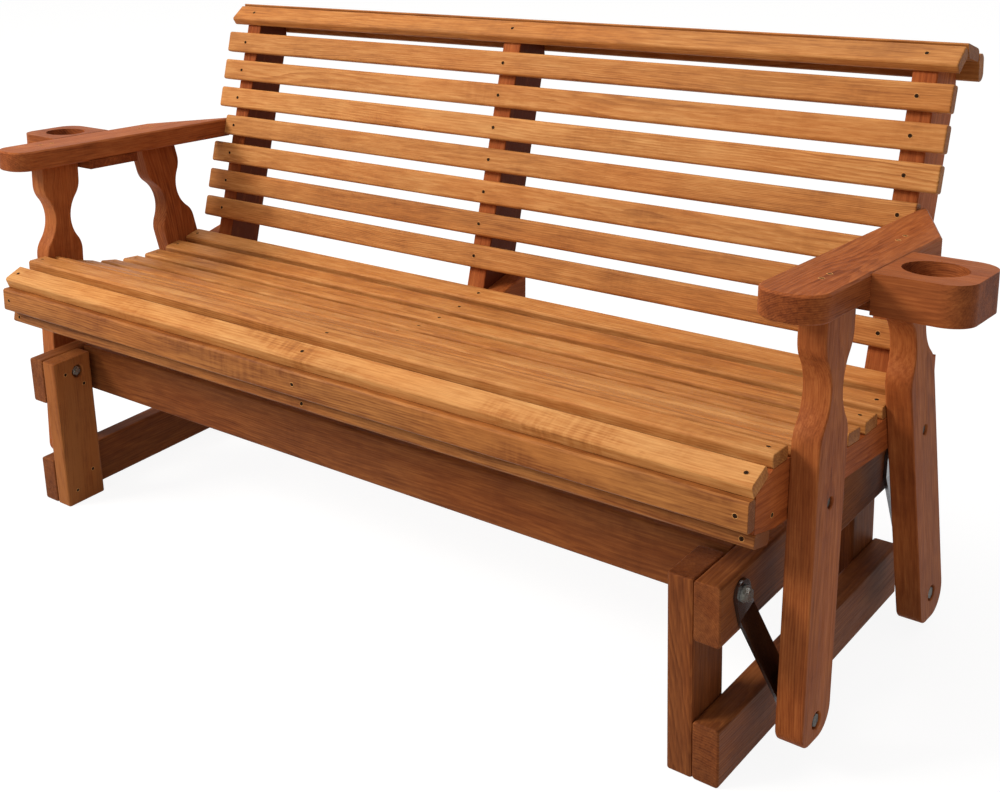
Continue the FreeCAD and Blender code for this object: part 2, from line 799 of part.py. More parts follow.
def hexagon(name, flats, start_x, length, y, z):
    """A hexagon bar along X, flats wide across its flats."""
    made = DOC.addObject("Part::Prism", name)
    made.Polygon = 6
    made.setExpression("Circumradius", (flats / 2 / cosine(30)).formula)
    made.setExpression("Height", as_size(length).formula)
    made.Placement = along_x(start_x, y, z)
    return made


def along_x(start_x, y, z):
    place = FreeCAD.Vector(as_size(start_x).value, as_size(y).value, as_size(z).value)
    return FreeCAD.Placement(place, FreeCAD.Rotation(Y_AXIS, 90))


def ring(name, outer, inner, start_x, length, y, z):
    made = DOC.addObject("Part::Cut", name)
    made.Base = rod(f"{name}_disc", outer, start_x, length, y, z)
    made.Tool = rod(f"{name}_bore", inner, start_x, length, y, z)
    return made


def span(side, near, length):
    """Where a piece that runs outwards from near starts along X, on either side."""
    return near if side > 0 else -(near + length)


def group(label, solids, carrier, inner=None):
    made = DOC.addObject("Part::Compound", label)
    made.Links = solids
    return keep(made, label, carrier, inner)


def make_bolt(name, side, head_x, tail_x, y, z, kind=BOLT):
    """A hexagon bolt or coach screw along X, with its head outside head_x."""
    radius, flats, head_thick = kind
    length = head_x - tail_x
    made = DOC.addObject("Part::Fuse", name)
    made.Base = rod(f"{name}_shank", radius, span(side, tail_x, length), length, y, z)
    head_start = span(side, head_x, head_thick)
    made.Tool = hexagon(f"{name}_head", flats, head_start, head_thick, y, z)
    return made


def make_nut(name, side, near, y, z):
    made = DOC.addObject("Part::Cut", name)
    start = span(side, near, S["nut_thick"])
    made.Base = hexagon(f"{name}_hexagon", S["head_flats"], start, S["nut_thick"], y, z)
    made.Tool = rod(f"{name}_bore", BOLT_HOLE, start, S["nut_thick"], y, z)
    return made


def make_washer(name, side, near, y, z):
    start = span(side, near, S["washer_thick"])
    return ring(name, S["washer_radius"], BOLT_HOLE, start, S["washer_thick"], y, z)


def places_of(pivots):
    for hand, side in SIDES:
        for end, (y, z) in pivots.items():
            yield f"{end}_{hand}", side, y, z


def make_upper_pivots():
    """Bolts through leg and rail; each strap turns between the rail and a washer."""
    washer_x = UPPER_STRAP_X + S["strap_thick"] + S["side_clearance"]
    head_x = washer_x + S["washer_thick"]
    nut_x = LEG_IN_X + S["leg_sink_depth"] - S["nut_thick"]
    bolts, nuts, washers = [], [], []
    for place, side, y, z in places_of(UPPER_PIVOTS):
        tail_x = nut_x - S["bolt_tail"]
        bolts.append(make_bolt(f"upper_bolt_{place}", side, head_x, tail_x, y, z))
        nuts.append(make_nut(f"upper_nut_{place}", side, nut_x, y, z))
        washers.append(make_washer(f"upper_washer_{place}", side, washer_x, y, z))
    group("upper_pivot_bolts", bolts, "base")
    group("upper_pivot_nuts", nuts, "base")
    group("upper_pivot_washers", washers, "base")


def make_lower_pivots():
    """Bolts from the post's outer face inwards; each strap turns between post and nut."""
    nut_x = LOWER_STRAP_X - S["side_clearance"] - S["nut_thick"]
    bolts, nuts = [], []
    for place, side, y, z in places_of(LOWER_PIVOTS):
        tail_x = nut_x - S["bolt_tail"]
        bolts.append(make_bolt(f"lower_bolt_{place}", side, POST_SINK_X, tail_x, y, z))
        nuts.append(make_nut(f"lower_nut_{place}", side, nut_x, y, z))
    group("lower_pivot_bolts", bolts, "seat")
    group("lower_pivot_nuts", nuts, "seat")


def make_side_bolts():
    """Coach screws that clamp each post to its seat rail."""
    tail_x = SLAT_END_X - S["side_bolt_grip"]
    screws = []
    for place, side, y, z in places_of({end: side_bolt(end) for end in LOWER_PIVOTS}):
        screws.append(make_bolt(f"side_bolt_{place}", side, POST_SINK_X, tail_x, y, z, SCREW))
    group("side_bolts", screws, "seat")


# Hanging the seat from the base

def vector(pivot):
    y, z = pivot
    return FreeCAD.Vector(0, y.value, z.value)


def hang_seat():
    """Find the rear straps' swing and the seat's place from the front straps' swing."""
    drop = S["strap_drop"].value
    swing = math.radians(S["rest_swing_angle"].value)
    hung = FreeCAD.Vector(0, math.sin(swing), -math.cos(swing)) * drop
    front = vector(UPPER_PIVOTS["front"]) + hung
    upper_rear = vector(UPPER_PIVOTS["rear"])
    reach = (vector(LOWER_PIVOTS["rear"]) - vector(LOWER_PIVOTS["front"])).Length
    line = upper_rear - front
    along = (reach ** 2 - drop ** 2 + line.Length ** 2) / (2 * line.Length)
    below = math.sqrt(reach ** 2 - along ** 2)
    line.normalize()
    rear = front + line * along + FreeCAD.Vector(0, line.z, -line.y) * below
    rear_swing = math.atan2(rear.y - upper_rear.y, upper_rear.z - rear.z)
    drawn = vector(LOWER_PIVOTS["rear"]) - vector(LOWER_PIVOTS["front"])
    tilt = math.atan2(rear.z - front.z, rear.y - front.y) - math.atan2(drawn.z, drawn.y)
    turn = FreeCAD.Rotation(X_AXIS, math.degrees(tilt))
    seat = FreeCAD.Placement(front, turn)
    seat = seat * FreeCAD.Placement(-vector(LOWER_PIVOTS["front"]), FreeCAD.Rotation())
    return seat, {"front": math.degrees(swing), "rear": math.degrees(rear_swing)}


def group_places():
    """The place of each group of pieces: the base, the seat and the four straps."""
    seat, swings = hang_seat()
    places = {"base": FreeCAD.Placement(), "seat": seat}
    for end, pivot in UPPER_PIVOTS.items():
        for hand, _ in SIDES:
            turn = FreeCAD.Rotation(X_AXIS, swings[end])
            places[f"link_{end}_{hand}"] = FreeCAD.Placement(vector(pivot), turn)
    return places


def place_all():
    """Place every piece, then move the whole so that its box stands on the origin."""
    places = group_places()
    for piece, carrier, inner in PIECES:
        piece.Placement = places[carrier] * inner
    DOC.recompute()
    box = FreeCAD.BoundBox()
    for piece, _, _ in PIECES:
        box.add(piece.Shape.optimalBoundingBox(False, False))
    centre = FreeCAD.Vector(box.Center.x, box.Center.y, box.ZMin)
    shift = FreeCAD.Placement(-centre, FreeCAD.Rotation())
    for piece, carrier, inner in PIECES:
        piece.Placement = shift * places[carrier] * inner
    DOC.recompute()
    print("shift", [round(number, 4) for number in centre], "size", box)
    print("seat", places["seat"])


def check_all():
    """Stop before anything is written if an object failed or a piece is not sound."""
    for item in DOC.Objects:
        if "Invalid" in item.State or "Error" in item.State:
            raise RuntimeError(f"{item.Label} failed: {item.State}")
    for piece, _, _ in PIECES:
        if piece.Shape.isNull() or not piece.Shape.isValid() or not piece.Shape.Solids:
            raise RuntimeError(f"{piece.Label} has no sound solid")


def write_all():
    os.makedirs("parts", exist_ok=True)
    for piece, _, _ in PIECES:
        piece.Shape.exportStep(os.path.join("parts", f"{piece.Label}.step"))
    print(len(PIECES), "pieces written")


def build():
    for hand, side in SIDES:
        for end in UPPER_PIVOTS:
            make_leg(end, hand, side)
            make_post(end, hand, side)
            turned = FreeCAD.Placement() if side > 0 else FreeCAD.Placement(
                FreeCAD.Vector(), FreeCAD.Rotation(Z_AXIS, 180))
            make_strap(end, hand, turned)
        make_base_rail("upper", hand, side)
        make_base_rail("lower", hand, side)
        make_arm(hand, side)
        make_cup_block(hand, side)
    make_beam("front")
    make_beam("rear")
    make_seat_rails()
    make_uprights()
    make_slats()
    make_upper_pivots()
    make_lower_pivots()
    make_side_bolts()
    place_all()
    check_all()
    write_all()


build()
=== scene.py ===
"""Looks of the glider bench: stained lumber, zinc plated steel, screw heads, floor, light and camera.

Lengths are in metres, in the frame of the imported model: +X to the right end, -Y to the front, +Z up.
Colours are written as sRGB values from 0 to 255, and powers in watts.
"""

import math
import random
from collections import namedtuple

import bmesh
import bpy
import numpy as np
from mathutils import Matrix, Vector


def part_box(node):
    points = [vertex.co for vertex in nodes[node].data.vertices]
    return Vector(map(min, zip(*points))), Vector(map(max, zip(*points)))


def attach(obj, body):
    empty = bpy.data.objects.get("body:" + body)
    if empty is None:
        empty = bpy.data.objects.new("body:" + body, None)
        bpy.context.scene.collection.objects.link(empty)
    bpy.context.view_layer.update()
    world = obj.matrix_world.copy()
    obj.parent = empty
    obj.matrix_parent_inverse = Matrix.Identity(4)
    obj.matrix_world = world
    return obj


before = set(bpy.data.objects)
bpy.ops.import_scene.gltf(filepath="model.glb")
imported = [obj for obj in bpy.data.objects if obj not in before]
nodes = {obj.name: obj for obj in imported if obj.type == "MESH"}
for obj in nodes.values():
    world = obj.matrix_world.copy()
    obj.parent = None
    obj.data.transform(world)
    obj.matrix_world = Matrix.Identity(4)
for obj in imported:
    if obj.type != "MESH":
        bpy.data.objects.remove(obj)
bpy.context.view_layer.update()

# Camera, fitted to the photograph: it stands to the right of the bench and looks down at it.
IMAGE_SIZE = (1000, 792)
CAMERA_AZIMUTH = 0.7700169
CAMERA_ELEVATION = 0.2704238
CAMERA_ROLL = -0.0710833
CAMERA_PLACE = (1.4680614, -1.9022774, 1.2924245)
FOCAL_PIXELS = 1428.144
PRINCIPAL_POINT = (281.548, 207.448)
SENSOR_WIDTH = 36.0
CLIP_END = 60.0

# Stains: the light, middle and dark colour of each kind of lumber, and the share of stain for each.
STAINS_AND_BASE_SHADE = {
    "slat_lumber": ((208, 152, 92), (179, 117, 61), (118, 66, 31)),
    "frame_lumber": ((192, 110, 57), (158, 83, 41), (100, 45, 20)),
    "end_lumber": ((184, 112, 62), (152, 84, 44), (100, 48, 25)),
    # The base lumber's dark colours are partly its own stain and partly painted shade from under the seat.
    "base_lumber": ((155, 95, 50), (124, 70, 37), (79, 39, 21)),
}
STAIN_STOPS = (0.08, 0.42, 0.86)
# Broad stretches of the boards lean to this warmer tint, at most by this share.
WARM_TINT = (1.0, 0.88, 0.76, 1.0)
WARM_SHARE = 0.8
# How much darker (above zero) or lighter (below zero) single boards are drawn: mostly their own stain, but
# roll_slat_3's darker tone is painted shade under the roll, and base_leg_front_left's lighter tone is
# painted light that makes up for the key lamp's falloff.
BOARD_TONES_AND_SHADE = {
    "roll_slat_1": -0.16,
    "roll_slat_2": 0.22,
    "roll_slat_3": 0.28,
    "back_slat_3": -0.05,
    "back_slat_5": 0.05,
    "crest_slat_1": 0.08,
    "crest_slat_2": 0.16,
    "cup_block_right": 0.08,
    "cup_block_left": 0.08,
    "seat_post_front_left": -0.12,
    "base_leg_front_left": -0.30,
    "base_leg_front_right": 0.04,
}
# Every board also has a small tone of its own, up to this much either way.
TONE_SPREAD = 0.06
# How strong the rippled figure is, where a board has more of it than the others.
PLAIN_FIGURE = 0.07
BOARD_FIGURES = {"roll_slat_1": 0.26, "roll_slat_2": 0.14, "seat_slat_8": 0.14}
# How much darker the end grain took the stain.
END_GRAIN_STAIN = {"slat_lumber": 0.24, "frame_lumber": 0.2, "end_lumber": 0.2, "base_lumber": 0.1}
# Painted shade: how much darker the flanks of two of the back's uprights are drawn, standing for the shade
# that falls on them between the back slats.
FLANK_PAINTED_SHADE = {"back_upright_left": 0.5, "back_upright_centre": 0.5}
# A face counts as end grain or as a flank in painted shade from the first to the second share of a square
# look along the axis.
FACING_BAND = (0.6, 0.95)

# A board's length runs to the side that this slanting line points to, square to no board.
SLANT = (0.3, 0.5, 0.8)
# A board stands rather than lies when its length rises by this much or more.
STANDING_FROM = 0.7
# Each board's random draws start from its number in the list of nodes, times the first plus the second.
BOARD_SEED = (7, 3)

# Year rings round a pith line beside the board: their spacing, and how far off the pith lies.
RING_SPACING = 0.0034
RING_SPACING_SPREAD = (0.7, 1.4)
PITH_DEPTH = (0.045, 0.11)
PITH_LEAN = (-1.2, 1.2)
# Each ring darkens over the first band of its width, and ends over the second.
LATE_WOOD = (0.1, 0.86)
RING_END = (0.88, 1.0)
# Rings take between this share and all of the stain; the step picks a share from ring to ring.
RING_LEAST_STAIN = 0.4
RING_STEP = 0.371
# Where the figure is faint, the rings keep this share of their strength.
FAINT_RINGS = 0.25
# Noises start somewhere else for every board, up to this far along their own axes.
NOISE_START = 40

# Knots: how far along the board each lies from the board's middle, and its radius.
KNOTS = {"back_slat_4": ((0.062, 0.0034),)}
# A knot is drawn out along the board by the inverse of this share.
KNOT_STRETCH = 0.6
# In knot radii: how far the rings bend round it, and by how much; where its dark middle starts and ends.
KNOT_BEND = (5, 1.6)
KNOT_CORE = (0.7, 1.5)
KNOT_STAIN = 0.6

# Layers of the figure: noise cycles a metre along, across and up the board, the axes that start
# somewhere else for every board, the noise's detail and roughness, and the band of it that shows.
Layer = namedtuple("Layer", "cycles moved detail roughness low high")
FIBRE = Layer((9.0, 520.0, 520.0), (1, 0, 0), 3.0, 0.6, 0.3, 0.72)
TONE = Layer((1.2, 30.0, 30.0), (0, 0, 1), 2.5, 0.55, 0.28, 0.74)
CLOUD = Layer((9.0, 14.0, 14.0), (1, 1, 1), 3.0, 0.6, 0.3, 0.7)
FLECK = Layer((18.0, 170.0, 170.0), (1, 0, 1), 3.0, 0.65, 0.36, 0.7)
RIPPLE = Layer((110.0, 16.0, 16.0), (0, 0, 0), 2.0, 0.5, 0.35, 0.65)
RINGS_SHOWN = Layer((1.5, 8.0, 8.0), (1, 0, 0), 1.0, 0.5, 0.34, 0.66)
WARMTH = Layer((3.0, 16.0, 16.0), (0, 1, 0), 2.0, 0.5, 0.38, 0.66)
PORES = Layer((70.0, 1500.0, 1500.0), (0, 0, 0), 1.0, 0.5, 0.66, 0.76)
# Noises that shift the rings: cycles a metre, reach, detail and roughness.
WANDER = ((1.3, 3.0, 3.0), 0.06, 1.5, 0.5)
WAVER = ((7.0, 45.0, 45.0), 0.008, 3.0, 0.6)
# Ripples show where the clouds are darker than this.
RIPPLE_FROM = 0.45
# How much each layer darkens the stain, and how dark the pores are.
LATE_SHARE = 0.27
FIBRE_SHARE = 0.16
TONE_SHARE = 0.22
CLOUD_SHARE = 0.14
FLECK_SHARE = 0.24
PORE_SHARE = 0.35

# Surface of the wood: sheen, roughness from its smooth to its rough fibres, and relief.
SLAT_SHEEN = 0.12
FRAME_SHEEN = 0.06
WOOD_ROUGHNESS = (0.46, 0.62)
WOOD_RELIEF = 0.0006
WOOD_RELIEF_SHARE = 0.35
LATE_RELIEF = 0.5
FIBRE_RELIEF = -0.5
PORE_RELIEF = 0.6

# Radius of the boards' eased edges; the roll slats keep closer joints.
EDGE_EASE = 0.0026
SEAT_EASE = 0.0016
ROLL_EASE = 0.0009
EASE_STEPS = 3
EASE_FROM_ANGLE = math.radians(25)
WELD_REACH = 0.00002

# Steel: the light and dark tone, the smoothest and the roughest share, and how metallic it is.
STRAP_STEEL = ((128, 128, 130), (106, 106, 108), 0.16, 0.24, 1.0)
# The pivot nuts' light tone and partly diffuse surface are partly their bright plating and partly a painted
# highlight.
BRIGHT_STEEL_AND_HIGHLIGHT = ((176, 174, 166), (96, 94, 88), 0.22, 0.36, 0.8)
DULL_STEEL = ((66, 59, 46), (30, 26, 20), 0.34, 0.50, 1.0)
SPANGLE_CYCLES = 420.0
SPANGLE_DETAIL = 3.0
SPANGLE_SHARE = 0.6
ROLLING_CYCLES = (900.0, 900.0, 60.0)
STEEL_RELIEF = 0.0002
STEEL_RELIEF_SHARE = 0.2
# The band of a mottling noise that shows, on the steel and on the screws.
MOTTLE_BAND = (0.35, 0.65)

# Screws: a raised lip of wood, a dark dish inside it whose near black is painted shade for the hole's depth,
# and the head with its square socket, darkened as painted shade of the sunk hole.
LIP_RADIUS = 0.0042
LIP_RISE = 0.0005
DISH_RADIUS = 0.0031
DISH_RISE = 0.00006
HEAD_RISE = 0.00022
HEAD_RADIUS = 0.0023
SOCKET_RADIUS = 0.0012
# Shares of those sizes: the lip's shoulder and crest, the head's crown, the socket's corners and floor.
LIP_FOOT_RISE = 0.00001
LIP_SHOULDER = 0.93
LIP_SHOULDER_RISE = 0.7
LIP_CREST = 0.86
HEAD_CROWN = 0.94
SOCKET_CORNER = 1.25
SOCKET_FLOOR_RISE = 0.5
SCREW_SIDES = 24
# Each screw is turned by this much more than the one before.
SCREW_TURN = 0.9
# Light and dark tone, roughness and metal of the lip, the dish and the head; the dish's near black and the
# head's dark brown are painted shade of the sunk hole.
SCREW_COLOURS_AND_SHADE = (
    ("screw_lip", (216, 156, 94), (164, 102, 52), 0.55, 0.0),
    ("screw_dish", (40, 20, 10), (20, 10, 6), 0.8, 0.0),
    ("screw_zinc", (62, 44, 26), (30, 20, 12), 0.5, 0.5),
)
SCREW_SHEEN = 0.06
SCREW_CYCLES = 700.0
# How much rougher the dark spots of a screw are than its light ones.
SCREW_ROUGHNESS_SPREAD = 0.1

# Screws in the slats: the side that each family of slats shows, and where the screws lie across.
SLAT_SCREWS = {
    "seat_slat_": ((0, 0, 1), (-0.745, 0.0, 0.745)),
    "roll_slat_": ((0, -1, 0.2), (-0.745, 0.0, 0.745)),
    "back_slat_": ((0, -1, 0.3), (-0.705, -0.038, 0.705)),
    "crest_slat_": ((0, 0, 1), (-0.705, -0.038, 0.705)),
}
# Screws down through the arms into the posts, for the right arm: across and depth.
ARM_SCREWS = ((0.783, -0.2486), (0.782, -0.2217), (0.781, 0.0067), (0.779, 0.0377))
# Screws through the legs into the end rails, for a front leg: depth and height.
LEG_SCREWS = ((-0.3547, 0.2722), (-0.3129, 0.2408), (-0.3146, 0.0579), (-0.3570, 0.0284))
LEG_MIRROR_DEPTH = -0.0721
# Screw in the side of the outer seat rails, near their front ends: depth and height.
RAIL_SCREW = (-0.3262, 0.3948)
# Lines to the screws' places start above the arms, inside the legs and outside the seat rails.
ABOVE_ARMS = 1.0
INSIDE_LEGS = 0.5
OUTSIDE_RAILS = 0.9
# Lines to a slat's face start this far from its middle, and then this far above its face.
SLAT_REACH = 0.2
FACE_REACH = 0.1

# Floor and light: white to the camera and in reflections, with the bench's shadow on the floor.
FLOOR_HALF_WIDTH = 40.0
FLOOR_COLOUR = (0.62, 0.62, 0.62, 1.0)
SHADOW_COLOUR = (0.17, 0.17, 0.17, 1.0)
FLOOR_GLOW = 0.90
WHITE = (1.0, 1.0, 1.0, 1.0)
WORLD_COLOUR = (1.0, 0.97, 0.95, 1.0)
WORLD_FILL = 0.43
# Lamps: name, place, width and height, power and tint.
LAMP_TARGET = (0.0, 0.0, 0.4)
LAMPS = (
    ("key", (-4.5, -4.8, 5.0), (3.0, 2.4), 510.0, (1.0, 0.96, 0.88)),
    ("top", (-0.4, -0.2, 4.0), (2.6, 2.2), 56.0, (1.0, 1.0, 1.0)),
)


def add_camera():
    """Creates the camera at the photograph's place, with the lens shift that its framing needs."""
    data = bpy.data.cameras.new("view")
    data.sensor_fit = "HORIZONTAL"
    data.sensor_width = SENSOR_WIDTH
    data.lens = FOCAL_PIXELS * SENSOR_WIDTH / IMAGE_SIZE[0]
    data.shift_x = (IMAGE_SIZE[0] / 2 - PRINCIPAL_POINT[0]) / IMAGE_SIZE[0]
    data.shift_y = (PRINCIPAL_POINT[1] - IMAGE_SIZE[1] / 2) / IMAGE_SIZE[0]
    data.clip_end = CLIP_END
    camera = bpy.data.objects.new("view", data)
    bpy.context.scene.collection.objects.link(camera)
    sight = Vector(
        (
            -math.sin(CAMERA_AZIMUTH) * math.cos(CAMERA_ELEVATION),
            math.cos(CAMERA_AZIMUTH) * math.cos(CAMERA_ELEVATION),
            -math.sin(CAMERA_ELEVATION),
        )
    )
    level = Vector((math.cos(CAMERA_AZIMUTH), math.sin(CAMERA_AZIMUTH), 0.0))
    upright = level.cross(sight)
    right = math.cos(CAMERA_ROLL) * level + math.sin(CAMERA_ROLL) * upright
    up = math.cos(CAMERA_ROLL) * upright - math.sin(CAMERA_ROLL) * level
    turn = Matrix((right, up, -sight)).transposed().to_4x4()
    camera.matrix_world = Matrix.Translation(CAMERA_PLACE) @ turn
    bpy.context.scene.camera = camera
    bpy.context.scene.view_settings.view_transform = "Standard"


def colour(red, green, blue):
    """Turns an sRGB colour from 0 to 255 into the linear colour that a shader takes."""
    channels = []
    for value in (red, green, blue):
        share = value / 255.0
        if share <= 0.04045:
            channels.append(share / 12.92)
        else:
            channels.append(((share + 0.055) / 1.055) ** 2.4)
    return (*channels, 1.0)


class Tree:
    """Makes and joins the shader nodes of a material or of the world with short calls."""

    def __init__(self, owner):
        owner.use_nodes = True
        self.owner = owner
        self.tree = owner.node_tree
        self.tree.nodes.clear()

    def add(self, kind, **settings):
        """Adds a node with its settings."""
        node = self.tree.nodes.new(kind)
        for key, value in settings.items():
            setattr(node, key, value)
        return node

    def feed(self, value, socket):
        """Links a socket's value, or sets it when it is plain."""
        if isinstance(value, bpy.types.NodeSocket):
            self.tree.links.new(value, socket)
        else:
            socket.default_value = value

    def maths(self, operation, first, second=0.0):
        """Does one sum on numbers."""
        node = self.add("ShaderNodeMath", operation=operation)
        self.feed(first, node.inputs[0])
        self.feed(second, node.inputs[1])
        return node.outputs[0]

    def vector(self, operation, first, second=(0.0, 0.0, 0.0)):
        """Does one sum on vectors."""
        node = self.add("ShaderNodeVectorMath", operation=operation)
        self.feed(first, node.inputs[0])
        self.feed(second, node.inputs[1])
        return node.outputs["Value" if operation in ("LENGTH", "DOT_PRODUCT") else "Vector"]

    def noise(self, place, detail=2.0, roughness=0.5, scale=1.0):
        """Adds a noise and gives its node."""
        node = self.add("ShaderNodeTexNoise", noise_dimensions="3D")
        self.feed(place, node.inputs["Vector"])
        node.inputs["Scale"].default_value = scale
        node.inputs["Detail"].default_value = detail
        node.inputs["Roughness"].default_value = roughness
        return node

    def spread(self, value, low, high, to_low=0.0, to_high=1.0, smooth=False):
        """Maps the band from low to high onto another one, and cuts off what is past it."""
        node = self.add("ShaderNodeMapRange", clamp=True)
        if smooth:
            node.interpolation_type = "SMOOTHSTEP"
        self.feed(value, node.inputs["Value"])
        node.inputs["From Min"].default_value = low
        node.inputs["From Max"].default_value = high
        node.inputs["To Min"].default_value = to_low
        node.inputs["To Max"].default_value = to_high
        return node.outputs["Result"]

    def layer(self, board, start, kind, least=0.0):
        """Gives one layer of a board's figure, from its least value up to one."""
        place = self.vector("MULTIPLY", board, kind.cycles)
        if any(kind.moved):
            place = self.vector("ADD", place, tuple(start * moved for moved in kind.moved))
        value = self.noise(place, kind.detail, kind.roughness).outputs["Fac"]
        return self.spread(value, kind.low, kind.high, least)

    def drift(self, board, start, cycles, reach, detail, roughness):
        """Gives a slow random shift across and up the board, up to half of reach either way."""
        place = self.vector("MULTIPLY", board, cycles)
        place = self.vector("ADD", place, start)
        value = self.noise(place, detail, roughness).outputs["Color"]
        value = self.vector("SUBTRACT", value, (0.5, 0.5, 0.5))
        return self.vector("MULTIPLY", value, (0.0, reach, reach))

    def facing(self, normal, axis):
        """Gives how squarely a face looks along an axis, from 0 to 1."""
        value = self.maths("ABSOLUTE", self.vector("DOT_PRODUCT", normal, axis))
        return self.spread(value, *FACING_BAND, smooth=True)

    def ramp(self, value, stops):
        """Turns a value into a colour through the stops."""
        node = self.add("ShaderNodeValToRGB")
        self.feed(value, node.inputs["Fac"])
        elements = node.color_ramp.elements
        while len(elements) > 1:
            elements.remove(elements[-1])
        elements[0].position = stops[0][0]
        elements[0].color = stops[0][1]
        for position, shade in stops[1:]:
            element = elements.new(position)
            element.color = shade
        return node.outputs["Color"]

    def mix(self, share, first, second, blend="MIX"):
        """Mixes two colours."""
        node = self.add("ShaderNodeMix", data_type="RGBA", blend_type=blend)
        self.feed(share, node.inputs["Factor"])
        self.feed(first, node.inputs[6])
        self.feed(second, node.inputs[7])
        return node.outputs[2]

    def relief(self, height, share, distance, shader):
        """Roughens a shader's surface by a height."""
        bump = self.add("ShaderNodeBump")
        bump.inputs["Strength"].default_value = share
        bump.inputs["Distance"].default_value = distance
        self.feed(height, bump.inputs["Height"])
        self.feed(bump.outputs["Normal"], shader.inputs["Normal"])

    def close(self, result, kind="ShaderNodeOutputMaterial"):
        """Joins the last shader to the output and gives the material or the world."""
        output = self.add(kind)
        self.feed(result, output.inputs["Surface"])
        return self.owner


def board_frame(node):
    """Gives a board's middle and the turn whose X runs along the board's length."""
    points = np.array([tuple(vertex.co) for vertex in node.data.vertices])
    low = points.min(axis=0)
    high = points.max(axis=0)
    middle = Vector((low + high) / 2)
    spread = points - points.mean(axis=0)
    lengths, axes = np.linalg.eigh(spread.T @ spread)
    along = Vector(axes[:, int(np.argmax(lengths))])
    if node.name.startswith("cup_block"):
        along = Vector((1, 0, 0))
    if along.dot(Vector(SLANT)) < 0:
        along.negate()
    side = Vector((0, 0, 1)) if abs(along.z) < STANDING_FROM else Vector((1, 0, 0))
    across = side.cross(along).normalized()
    up = along.cross(across)
    return middle, Matrix((along, across, up)).transposed()


def year_rings(tree, board, node, start, chance):
    """Gives how dark the year rings are at a place, and how dark the board's knots are there."""
    # The trunk's slow wander along the board bends the rings into long arches.
    wander = tree.drift(board, (start, start, 0.0), *WANDER)
    waver = tree.drift(board, (0.0, start, start), *WAVER)
    depth = chance.uniform(*PITH_DEPTH)
    lean = chance.uniform(*PITH_LEAN)
    pith = (0.0, depth * math.sin(lean), depth * math.cos(lean))
    radial = tree.vector("ADD", board, pith)
    radial = tree.vector("ADD", radial, wander)
    radial = tree.vector("ADD", radial, waver)
    radial = tree.vector("MULTIPLY", radial, (0.0, 1.0, 1.0))
    radius = tree.vector("LENGTH", radial)
    knot_stain = 0.0
    for reach, size in KNOTS.get(node.name, ()):
        offset = tree.vector("SUBTRACT", board, (reach, 0.0, 0.0))
        offset = tree.vector("MULTIPLY", offset, (KNOT_STRETCH, 1.0, 1.0))
        away = tree.vector("LENGTH", offset)
        bend = tree.spread(away, size, size * KNOT_BEND[0], size * KNOT_BEND[1], 0.0, smooth=True)
        radius = tree.maths("ADD", radius, bend)
        core = tree.spread(away, size * KNOT_CORE[0], size * KNOT_CORE[1], KNOT_STAIN, 0.0, smooth=True)
        knot_stain = tree.maths("ADD", core, knot_stain)
    spacing = RING_SPACING * chance.uniform(*RING_SPACING_SPREAD)
    turns = tree.maths("MULTIPLY", radius, 1.0 / spacing)
    saw = tree.maths("FRACT", turns)
    late = tree.spread(saw, *LATE_WOOD, smooth=True)
    edge = tree.spread(saw, *RING_END, 1.0, 0.0, smooth=True)
    late = tree.maths("MULTIPLY", late, edge)
    # Each ring took the stain to its own depth, and some stretches show hardly any rings.
    ring = tree.maths("FLOOR", turns)
    ring = tree.maths("MULTIPLY", ring, RING_STEP)
    strength = tree.layer(board, start, RINGS_SHOWN, FAINT_RINGS)
    own = tree.maths("MULTIPLY", tree.maths("FRACT", ring), 1.0 - RING_LEAST_STAIN)
    own = tree.maths("ADD", own, RING_LEAST_STAIN)
    return tree.maths("MULTIPLY", tree.maths("MULTIPLY", late, own), strength), knot_stain


